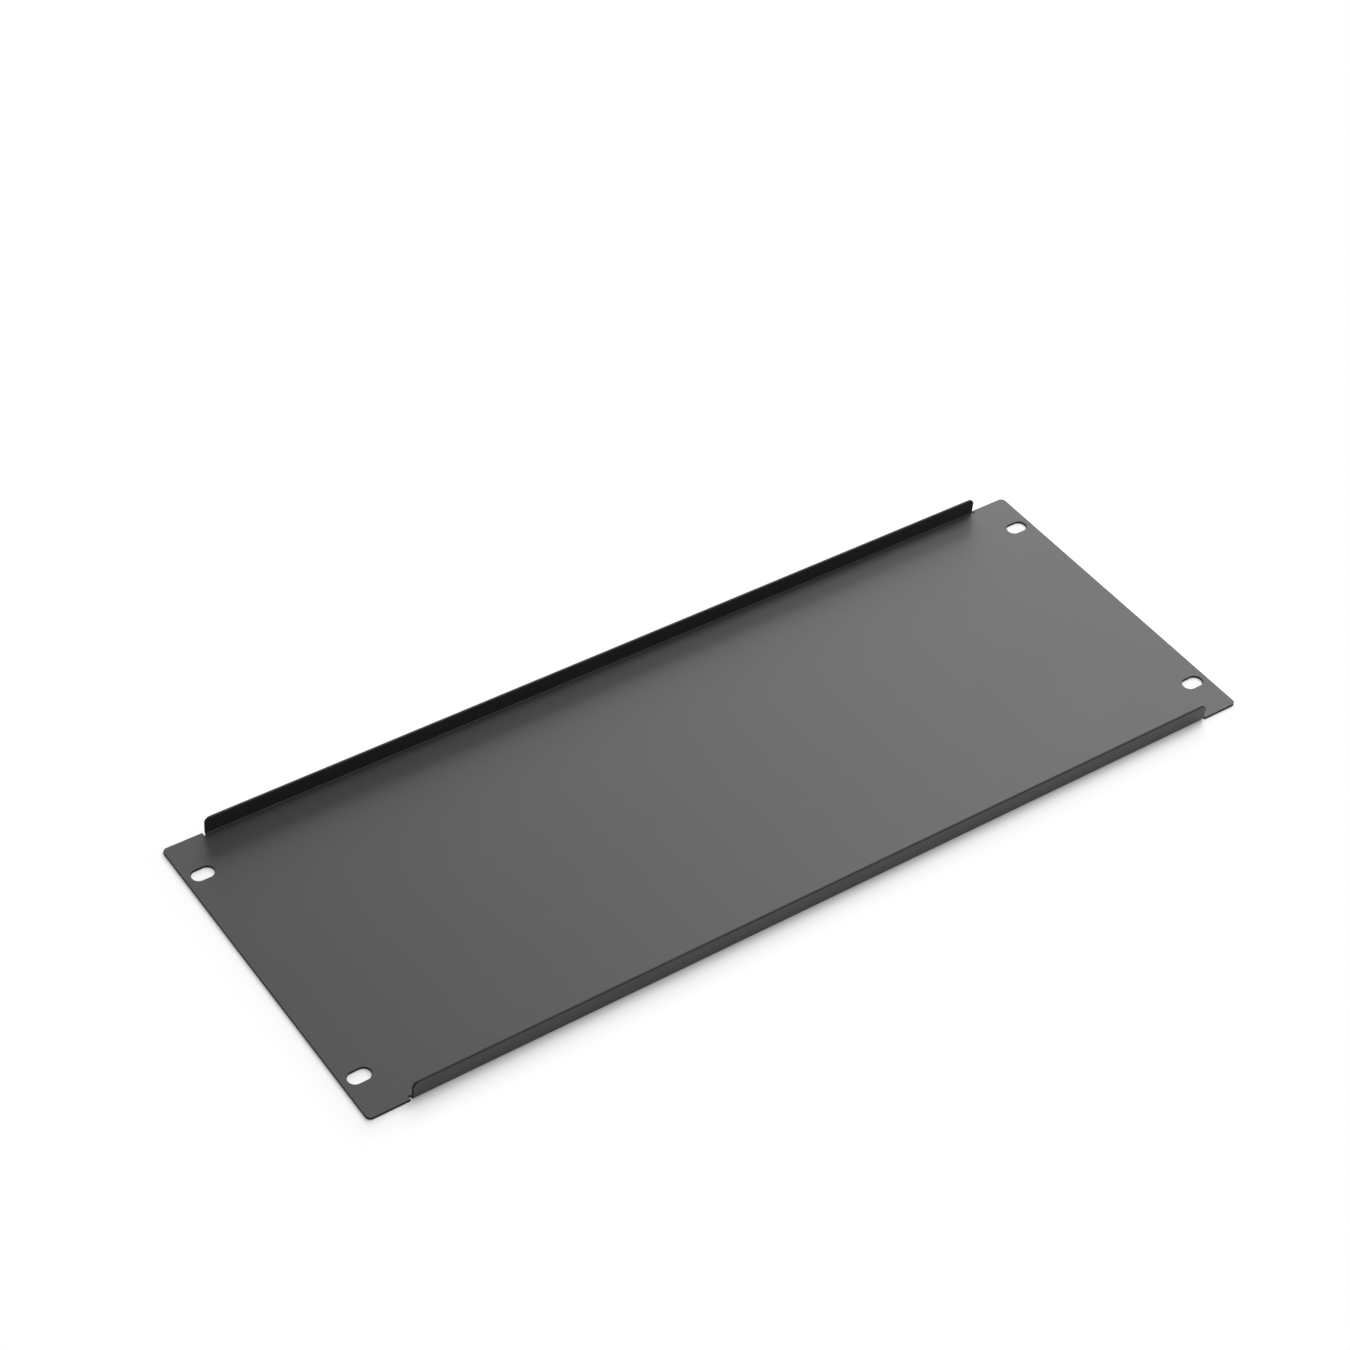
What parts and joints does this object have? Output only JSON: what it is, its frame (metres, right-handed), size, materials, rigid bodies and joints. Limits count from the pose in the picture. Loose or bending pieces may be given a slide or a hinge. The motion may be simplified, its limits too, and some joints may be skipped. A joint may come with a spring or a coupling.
{
  "type": "rack blanking panel",
  "caption": "Folded sheet-steel panel with slotted ears and short stiffening flanges along its long edges, which closes off unused space at the front of an equipment rack.",
  "frame": {"origin": "centre of the front face, which lies on Z = 0", "axes": "+X along the panel's width, +Y along its height, +Z from the front face towards the inside of the rack, the way the flanges point"},
  "size_m": [0.4826, 0.177, 0.01],
  "materials": {
    "powder_coat": "near-black powder coat, satin-matt, with a fine, even grain"
  },
  "bodies": {
    "root": {"blanking_panel": "powder_coat"}
  },
  "joints": []
}
